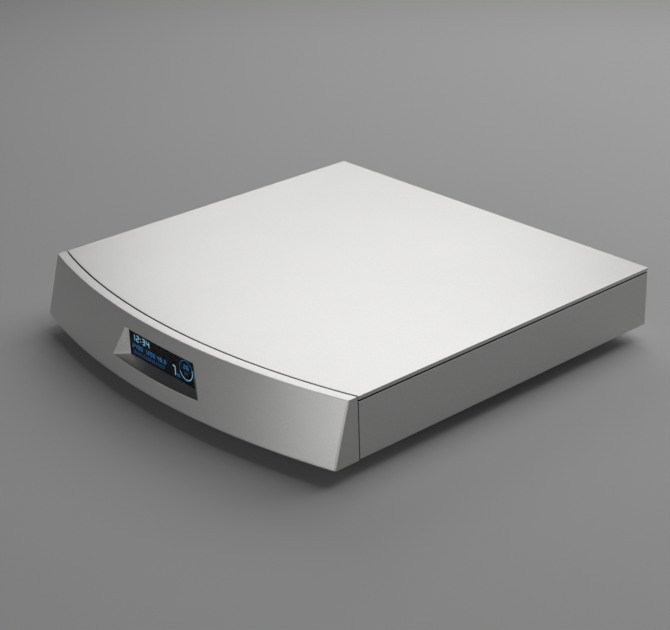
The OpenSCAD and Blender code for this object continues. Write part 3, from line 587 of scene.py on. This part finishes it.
def back_rows(bm):
    """Rows of the fascia's back, with the opening of the display board's pocket."""
    heights = steps_between(GLASS_Z - POCKET_HH, GLASS_Z + POCKET_HH, N_MID)
    heights = [BASE_Z + BACK_EASE] + heights + [TOP_Z - BACK_EASE]
    places = [-HALF_W] + spread(HALF_W - END_EASE_X, POCKET_HW) + [HALF_W]
    rows = []
    for i, z in enumerate(heights):
        hole = 1 < i < N_MID + 1
        rows.append([None if hole and FIRST < k < LAST else fascia_point(bm, x, z, BACK_R)
                     for k, x in enumerate(places)])
    return rows


def strip_rows(bm, face_row, back_row, profile):
    """Rows of an eased edge and its flat, from the face's last row to the back's."""
    ends = (0, len(face_row) - 1)
    rows = [face_row]
    for r, z, share in profile:
        row = []
        for k, (front, rear) in enumerate(zip(face_row, back_row)):
            x = (front.co.x * (1 - share) + rear.co.x * share) / MM
            end = END_EASE_Y * (1 - share) if k in ends else 0.0
            row.append(fascia_point(bm, x, z, r, end))
        rows.append(row)
    rows.append(back_row)
    quads(bm, rows)
    return rows


def loop_of(rows, bottom, top):
    """Vertices round the opening in a grid of rows, from its lower left corner."""
    low = rows[bottom][FIRST:LAST + 1]
    right = [rows[i][LAST] for i in range(bottom + 1, top + 1)]
    high = list(reversed(rows[top][FIRST:LAST]))
    left = [rows[i][FIRST] for i in range(top - 1, bottom, -1)]
    return low + right + high + left


def frame_loop(bm, half_w, half_h, behind):
    """Rectangular loop behind the glass line, with as many vertices as the window's edge."""
    low, high = GLASS_Z - half_h, GLASS_Z + half_h
    xs = steps_between(-half_w, half_w, N_WIN)
    zs = steps_between(low, high, N_MID)
    path = [(x, low) for x in xs] + [(half_w, z) for z in zs[1:]]
    path += [(x, high) for x in reversed(xs[:-1])] + [(-half_w, z) for z in reversed(zs[1:-1])]
    return [bm.verts.new(Vector((x, GLASS_Y + behind, z)) * MM) for x, z in path]


def finish_splays(bm, faces):
    """Sill in a darker finish that is painted shade, the casing's finish on the head, milled sides, all
    mapped round the ring.
    """
    layer = bm.loops.layers.uv.new(MILLING)
    corners = ((0, 0), (1, 0), (1, 1), (0, 1))
    head = range(N_WIN + N_MID, 2 * N_WIN + N_MID)
    count = len(faces)
    for k, face in enumerate(faces):
        if k < N_WIN:
            face.material_index = SILL_SLOT
        elif k in head:
            face.material_index = BODY_SLOT
        else:
            face.material_index = SPLAY_SLOT
        for loop, (step, across) in zip(face.loops, corners):
            loop[layer].uv = ((k + step) / count, across)


def make_fascia():
    foot_r, top_r = SEAM_R + FOOT_T, SEAM_R + TOP_T
    bm = bmesh.new()
    front = [with_ends(bm, row) for row in face_rows()]
    quads(bm, front)
    rear = back_rows(bm)
    quads(bm, rear)

    # Eased top and bottom edges, the flats behind them and the two ends
    corner, flat = (top_r - TOP_LEAN, TOP_Z), (top_r - TOP_EASE_R, TOP_Z)
    profile = edge_profile((top_r, FACE_HIGH), corner, flat, steps=4)
    top_rows = strip_rows(bm, front[-1], rear[-1], profile)
    corner, flat = (foot_r, BASE_Z), (foot_r - FOOT_EASE_R, BASE_Z)
    profile = edge_profile((foot_r, FACE_LOW), corner, flat, steps=5)
    low_rows = strip_rows(bm, front[0], rear[0], profile)
    for k in (0, -1):
        rim = [row[k] for row in front] + [row[k] for row in top_rows[1:-1]]
        rim += [row[k] for row in reversed(rear)] + [row[k] for row in reversed(low_rows[1:-1])]
        bm.faces.new(rim)

    # Splays down to the glass, the seat of the pane and cell, then the board's pocket
    edge = loop_of(front, N_LOW, N_LOW + N_MID)
    glass = frame_loop(bm, GLASS_HW, GLASS_HH, 0.0)
    seat = frame_loop(bm, SEAT_HW, SEAT_HH, 0.0)
    step = frame_loop(bm, SEAT_HW, SEAT_HH, SEAT_DEPTH)
    pocket = frame_loop(bm, POCKET_HW, POCKET_HH, SEAT_DEPTH)
    hole = loop_of(rear, 1, N_MID + 1)
    finish_splays(bm, band(bm, edge, glass))
    for a, b in ((glass, seat), (seat, step), (step, pocket), (pocket, hole)):
        band(bm, a, b)
    bmesh.ops.recalc_face_normals(bm, faces=bm.faces)

    # Fine easing round the window
    lip = [bm.edges.get((a, b)) for a, b in zip(edge, edge[1:] + edge[:1])]
    bmesh.ops.bevel(bm, geom=lip, offset=LIP_EASE * MM, segments=2, profile=0.5,
                    affect="EDGES", clamp_overlap=True)
    body = shaded(add_object("fascia", bm, MAT["casing"]))
    body.data.materials.append(MAT["splay"])
    # Third slot: the sill, darkened as painted shade
    body.data.materials.append(MAT["sill"])
    return body


def make_land():
    """Land at the bottom of the seam, either side of the display pocket."""
    inner, outer, steps = 54.5, 173.0, 40
    low, high, overlap = 14.5, 54.5, 0.3
    front_r = BACK_R + overlap
    section = ((TUB_R, low), (front_r, low), (front_r, high), (TUB_R, high))
    bm = bmesh.new()
    for start, end in ((-outer, -inner), (inner, outer)):
        xs = steps_between(start, end, steps)
        loft(bm, [[(x, arc_point(r, x), z) for r, z in section] for x in xs])
    return shaded(add_object("fascia_land", bm, MAT["casing"]))


fascia = make_fascia()
fascia_land = make_land()
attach(fascia, "casing")
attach(fascia_land, "casing")
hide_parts("front_fascia")


# Top cover

def make_cover():
    count, corner, edge = 140, 0.7, 0.4
    xs = [-HALF_W + 2 * HALF_W * k / count for k in range(count + 1)]
    outline = [(x, arc_point(TUB_R, x)) for x in xs]
    outline += [(HALF_W, REAR_Y - corner), (HALF_W - corner, REAR_Y)]
    outline += [(corner - HALF_W, REAR_Y), (-HALF_W, REAR_Y - corner)]
    bm = bmesh.new()
    loft(bm, [[(x, y, z) for x, y in outline] for z in (TOP_Z - COVER_T, TOP_Z)])
    return eased(add_object("cover", bm, MAT["casing"]), edge)


cover = make_cover()
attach(cover, "casing")
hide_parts("top_cover")


# Display: tinted pane and lit elements behind it

def make_pane():
    edge, steps = 0.2, 2
    low = (-PANE_HW, GLASS_Y + PANE_FRONT, GLASS_Z - PANE_HH)
    high = (PANE_HW, GLASS_Y + PANE_BACK, GLASS_Z + PANE_HH)
    bm = bmesh.new()
    brick(bm, low, high)
    return eased(add_object("window_pane", bm, MAT["pane"]), edge, steps)


pane = make_pane()
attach(pane, "casing")
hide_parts("display_glass")

# Bars that are lit in each numeral, the share of a stroke left off a bar's outer end,
# and a space's width and a colon's two heights as shares of a numeral
SEGMENTS = {"0": "abcdef", "1": "bc", "2": "abged", "3": "abgcd", "4": "fgbc",
            "5": "afgcd", "6": "afgedc", "7": "abc", "8": "abcdefg", "9": "abcdfg"}
BAR_TRIM = 0.3
SPACE_W = 0.7
COLON_H = (0.25, 0.65)


def mark_point(bm, x, z):
    """Vertex on the display's face, in millimetres from its middle."""
    return bm.verts.new(Vector((x, GLASS_Y + MARK_DEPTH, GLASS_Z + z)) * MM)


def strip(bm, x0, z0, x1, z1):
    """Lit rectangle between two corners."""
    corners = [(x0, z0), (x1, z0), (x1, z1), (x0, z1)]
    bm.faces.new([mark_point(bm, x, z) for x, z in corners])


def digit(bm, char, x, z, w, h, t):
    """Seven-bar numeral with its lower left corner at x, z and strokes t wide."""
    mid = z + h / 2
    foot, head = z + t * BAR_TRIM, z + h - t * BAR_TRIM
    left, right = x + t, x + w - t
    bars = {"a": (left, z + h - t, right, z + h),
            "b": (right, mid, x + w, head),
            "c": (right, foot, x + w, mid),
            "d": (left, z, right, z + t),
            "e": (x, foot, left, mid),
            "f": (x, mid, left, head),
            "g": (left, mid - t / 2, right, mid + t / 2)}
    for key in SEGMENTS[char]:
        strip(bm, *bars[key])


def number(bm, text, x, z, w, h, t, gap):
    """Row of numerals, points, colons and spaces from its lower left corner."""
    for char in text:
        if char == " ":
            x += w * SPACE_W
        elif char == ".":
            strip(bm, x, z, x + t, z + t)
            x += t + gap
        elif char == ":":
            for share in COLON_H:
                foot = z + h * share
                strip(bm, x, foot, x + t, foot + t)
            x += t + gap
        else:
            digit(bm, char, x, z, w, h, t)
            x += w + gap


def ring(bm, x, z, r0, r1, start, end, steps):
    """Lit arc between two radii and two angles, clockwise from the top."""
    turn = [math.radians(angle) for angle in steps_between(start, end, steps)]
    inner = [mark_point(bm, x + r0 * math.sin(a), z + r0 * math.cos(a)) for a in turn]
    outer = [mark_point(bm, x + r1 * math.sin(a), z + r1 * math.cos(a)) for a in turn]
    quads(bm, [inner, outer])


def lit_piece(name, bm, mat):
    obj = add_object(name, bm, mat)
    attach(obj, "casing")


def make_display():
    cyan = glowing("lit_cyan", (0.34, 0.72, 0.90), 0.75)
    blue = glowing("lit_blue", (0.04, 0.25, 0.55), 0.8)
    dim = glowing("lit_dim", (0.015, 0.09, 0.22), 0.7)
    left, ring_x, ring_z = -37.6, 29.0, 0.0

    # Upper line: a plain clock number
    bm = bmesh.new()
    number(bm, "12:34", left, 1.6, w=4.0, h=5.4, t=0.95, gap=1.3)
    lit_piece("display_number", bm, cyan)

    # Middle line: groups of plain numbers
    bm = bmesh.new()
    number(bm, "2400 1200 48.0", left, -4.4, w=2.5, h=3.6, t=0.62, gap=0.95)
    lit_piece("display_groups", bm, blue)

    # Lower line: level bars over a thin scale
    scale_low, scale_high, scale_end = -9.0, -8.55, 2.0
    count, pitch, width, foot = 17, 2.4, 1.1, -8.2
    least, swing, beat = -7.1, 1.1, 1.3
    bm = bmesh.new()
    strip(bm, left, scale_low, scale_end, scale_high)
    for k in range(count):
        x = left + k * pitch
        strip(bm, x, foot, x + width, least + swing * abs(math.sin(k * beat)))
    lit_piece("display_scale", bm, dim)

    # Large numeral and the bright arc of the ring at the right end
    bm = bmesh.new()
    number(bm, "7", 11.6, -8.8, w=4.6, h=8.0, t=1.15, gap=1.0)
    ring(bm, ring_x, ring_z, r0=7.3, r1=8.0, start=75, end=250, steps=40)
    lit_piece("display_level", bm, cyan)

    # Small numbers and the rest of the ring
    bm = bmesh.new()
    number(bm, "05", 17.6, -8.8, w=1.5, h=2.6, t=0.4, gap=0.5)
    number(bm, "28", 25.9, 0.6, w=2.6, h=3.6, t=0.55, gap=0.9)
    ring(bm, ring_x, ring_z, r0=7.45, r1=7.8, start=-110, end=75, steps=34)
    lit_piece("display_small", bm, blue)
    bm = bmesh.new()
    number(bm, "00", 26.8, -3.8, w=1.8, h=2.6, t=0.42, gap=0.6)
    lit_piece("display_faint", bm, dim)


make_display()


# Small fittings at the back: contacts in the open sockets and the marks on the rocker

def dress(name, bm, key, body="casing"):
    obj = add_object(name, bm, MAT[key])
    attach(obj, body)


def inset(loop, gap):
    """Square-cornered clockwise loop moved inward by a gap."""
    moved = []
    for before, here, after in zip(loop[-1:] + loop[:-1], loop, loop[1:] + loop[:1]):
        place = Vector(here)
        for a, b in ((before, here), (here, after)):
            run = (Vector(b) - Vector(a)).normalized()
            place += Vector((run.y, -run.x)) * gap
        moved.append(tuple(place))
    return moved


def make_network_socket():
    """Dark liner in the network socket, and its eight sprung wires."""
    x, _, z = middle_of("network_socket")
    mouth = [(-5.9, 5.0), (5.9, 5.0), (5.9, -3.2), (3.1, -3.2), (3.1, -4.8), (1.6, -4.8),
             (1.6, -6.0), (-1.6, -6.0), (-1.6, -4.8), (-3.1, -4.8), (-3.1, -3.2), (-5.9, -3.2)]
    rim, floor, wall, gap = 0.3, -12.9, 0.5, 0.05

    def level(loop, out):
        return [(x - across, REAR_Y + out, z + up) for across, up in loop]

    outer, inner = inset(mouth, gap), inset(mouth, gap + wall)
    bm = bmesh.new()
    loft(bm, [level(outer, floor), level(outer, rim), level(inner, rim), level(inner, floor + wall)])
    dress("network_liner", bm, "black")

    # Height and depth of a wire from its free end
    path = [(4.15, -0.9), (4.0, -1.6), (3.5, -2.4), (0.7, -9.6)]
    half_w, half_t, pitch, count = 0.18, 0.11, 1.02, 8
    bm = bmesh.new()
    for k in range(count):
        across = (k - (count - 1) / 2) * pitch
        left, right = across - half_w, across + half_w
        rings = []
        for up, out in path:
            low, high = up - half_t, up + half_t
            rings.append(level([(left, low), (right, low), (right, high), (left, high)], out))
        loft(bm, rings)
    dress("network_wires", bm, "gold")


def make_usb_contacts():
    """Four flat contacts under the tongue of each small socket."""
    half_w, inner, outer = 0.5, REAR_Y - 9.0, REAR_Y - 1.4
    low, high = 0.2, 0.32
    bm = bmesh.new()
    for node in ("usb_left", "usb_right"):
        x, _, z = middle_of(node)
        for across in (-3.5, -1.1, 1.1, 3.5):
            brick(bm, (x + across - half_w, inner, z + low), (x + across + half_w, outer, z + high))
    dress("usb_contacts", bm, "gold")


def make_rocker_marks():
    """Raised bar and ring on the two halves of the rocker, for on and off."""
    pivot = next(j for j in frame["joints"] if j["name"] == "rocker_tilt")["pos_m"]
    tilt, slope = math.radians(8.0), math.atan2(2.0, 12.0)
    valley, reach = 2.6, 4.7
    low, high = -0.08, 0.05
    half_l, half_w = 1.5, 0.27
    r0, r1, steps = 1.05, 1.55, 40

    def point(side, along, across, lift):
        """Place on one half of the rocker, lifted off its sloping face."""
        run = reach + along
        up = side * (run - lift * math.sin(slope))
        out = valley + run * math.tan(slope) + lift * math.cos(slope)
        return (pivot[0] / MM - across,
                pivot[1] / MM + up * math.sin(tilt) + out * math.cos(tilt),
                pivot[2] / MM + up * math.cos(tilt) - out * math.sin(tilt))

    bm = bmesh.new()
    bar = [(-half_l, -half_w), (half_l, -half_w), (half_l, half_w), (-half_l, half_w)]
    loft(bm, [[point(-1, a, c, lift) for a, c in bar] for lift in (low, high)])
    section = ((r0, low), (r1, low), (r1, high), (r0, high))
    turn = [2 * math.pi * k / steps for k in range(steps + 1)]
    loft(bm, [[point(1, r * math.sin(a), r * math.cos(a), lift) for r, lift in section] for a in turn],
         capped=False)
    bmesh.ops.remove_doubles(bm, verts=bm.verts, dist=1e-7)
    bmesh.ops.recalc_face_normals(bm, faces=bm.faces)
    dress("rocker_marks", bm, "white", "rocker")


make_network_socket()
make_usb_contacts()
make_rocker_marks()


# Camera at the photograph's viewing angle

def make_camera():
    az, el, roll = (math.radians(v) for v in (49.614, 25.013, -1.992))
    distance = 1147.99
    target = Vector((69.963, 72.09 + SEAM_Y + BOW, TOP_Z))
    focal_px, image_px, sensor = 1585.06, 670, 36.0
    back = Vector((math.sin(az) * math.cos(el), -math.cos(az) * math.cos(el), math.sin(el)))
    level_right = Vector((math.cos(az), math.sin(az), 0))
    level_up = back.cross(level_right)
    right = level_right * math.cos(roll) + level_up * math.sin(roll)
    up = level_up * math.cos(roll) - level_right * math.sin(roll)
    place = (target + back * distance) * MM
    data = bpy.data.cameras.new("camera")
    data.sensor_width = sensor
    data.lens = focal_px / image_px * sensor
    data.clip_start = 0.01
    data.clip_end = 50.0
    cam = bpy.data.objects.new("camera", data)
    cam.matrix_world = Matrix((
        (right.x, up.x, back.x, place.x),
        (right.y, up.y, back.y, place.y),
        (right.z, up.z, back.z, place.z),
        (0, 0, 0, 1)))
    scene.collection.objects.link(cam)
    scene.camera = cam


make_camera()


# Floor, light and world

# Lamps: name, place, aim, size across and up, and power
LAMPS = [
    ("rear_left", (-1.375, 1.195, 1.19), (-0.105, -0.172, 0.16), (1.1, 0.88), 5.83),
    ("overhead", (0.15, 0.95, 1.35), (0.15, 0.0, 0.03), (1.4, 2.0), 14.5),
    ("front_low", (0.5, -1.9, 0.13), (0.26, -0.1, 0.06), (2.0, 0.25), 4.5),
    ("front", (0.55, -1.9, 0.72), (0.25, -0.1, 0.04), (2.2, 0.9), 2.2),
    ("right_low", (1.65, -1.2, 0.125), (0.2, -0.1, 0.06), (1.0, 0.24), 2.2),
    ("front_right", (1.5, -1.45, 0.46), (0.1, -0.1, 0.04), (1.0, 0.8), 1.2),
]


def make_floor():
    """Round pale floor that fades into the world's grey well away from the part."""
    radius, count = 2500.0, 96
    fade_from, fade_to = 0.85, 1.9
    bm = bmesh.new()
    turn = [2 * math.pi * k / count for k in range(count)]
    edge = [Vector((radius * math.cos(a), radius * math.sin(a), 0)) * MM for a in turn]
    bm.faces.new([bm.verts.new(p) for p in edge])
    mat, tree, bsdf = new_material("pale_floor")
    shade = tone(tree, noise(tree, scale=1.5), (0.52, 0.52, 0.52), (0.54, 0.54, 0.54))
    tree.links.new(shade, bsdf.inputs["Base Color"])
    bsdf.inputs["Roughness"].default_value = 0.75
    where = tree.nodes.new("ShaderNodeTexCoord")
    far = tree.nodes.new("ShaderNodeVectorMath")
    far.operation = "LENGTH"
    tree.links.new(where.outputs["Object"], far.inputs[0])
    fade = ease(tree, far.outputs["Value"], fade_from, fade_to, 0.0, 1.0)
    clear = tree.nodes.new("ShaderNodeBsdfTransparent")
    mix = tree.nodes.new("ShaderNodeMixShader")
    tree.links.new(fade, mix.inputs["Fac"])
    tree.links.new(bsdf.outputs["BSDF"], mix.inputs[1])
    tree.links.new(clear.outputs["BSDF"], mix.inputs[2])
    tree.links.new(mix.outputs["Shader"], tree.nodes["Material Output"].inputs["Surface"])
    floor = add_object("floor", bm, mat)


def make_world():
    """Grey room that the camera, metal and glass see; it gives the rest a faint even light.

    It has a paler band some way above the horizon, a dark flag high at the left, and a glow at the
    front left that the lid mirrors towards the rear right.
    """
    flag_way, glow_way = (-0.72, -0.05, 0.69), (-0.462, -0.711, 0.530)
    faint = 0.035
    world = bpy.data.worlds.new("studio")
    scene.world = world
    world.use_nodes = True
    tree = world.node_tree
    ground = tree.nodes["Background"]

    def towards(way):
        """How nearly a ray points one way, with 1 for straight along it."""
        where = tree.nodes.new("ShaderNodeTexCoord")
        dot = tree.nodes.new("ShaderNodeVectorMath")
        dot.operation = "DOT_PRODUCT"
        dot.inputs[1].default_value = way
        tree.links.new(where.outputs["Generated"], dot.inputs[0])
        return dot.outputs["Value"]

    height = place_along(tree, "Z", "Generated")
    rise = ease(tree, height, 0.03, 0.28, 0.13, 0.38)
    fall = ease(tree, height, 0.42, 0.6, 0.0, 0.18)
    flag = ease(tree, towards(flag_way), 0.81, 0.95, 0.0, 0.18)
    glow = ease(tree, towards(glow_way), 0.90, 0.985, 0.0, 0.38)
    shade = maths(tree, "SUBTRACT", rise, fall)
    shade = maths(tree, "SUBTRACT", shade, flag)
    shade = maths(tree, "ADD", shade, glow)
    path = tree.nodes.new("ShaderNodeLightPath").outputs
    seen = maths(tree, "MAXIMUM", path["Is Camera Ray"], path["Is Glossy Ray"])
    seen = maths(tree, "MAXIMUM", seen, path["Is Transmission Ray"])
    pick = tree.nodes.new("ShaderNodeMix")
    pick.inputs["A"].default_value = faint
    tree.links.new(seen, pick.inputs["Factor"])
    tree.links.new(shade, pick.inputs["B"])
    tree.links.new(pick.outputs["Result"], ground.inputs["Strength"])
    ground.inputs["Color"].default_value = (*WHITE, 1)


def make_lamp(name, place, aim, size, power):
    data = bpy.data.lights.new(name, "AREA")
    data.shape = "RECTANGLE"
    data.size, data.size_y = size
    data.energy = power
    obj = bpy.data.objects.new(name, data)
    obj.location = place
    obj.rotation_euler = (Vector(aim) - Vector(place)).to_track_quat("-Z", "Y").to_euler()
    scene.collection.objects.link(obj)


make_floor()
make_world()
for lamp in LAMPS:
    make_lamp(*lamp)
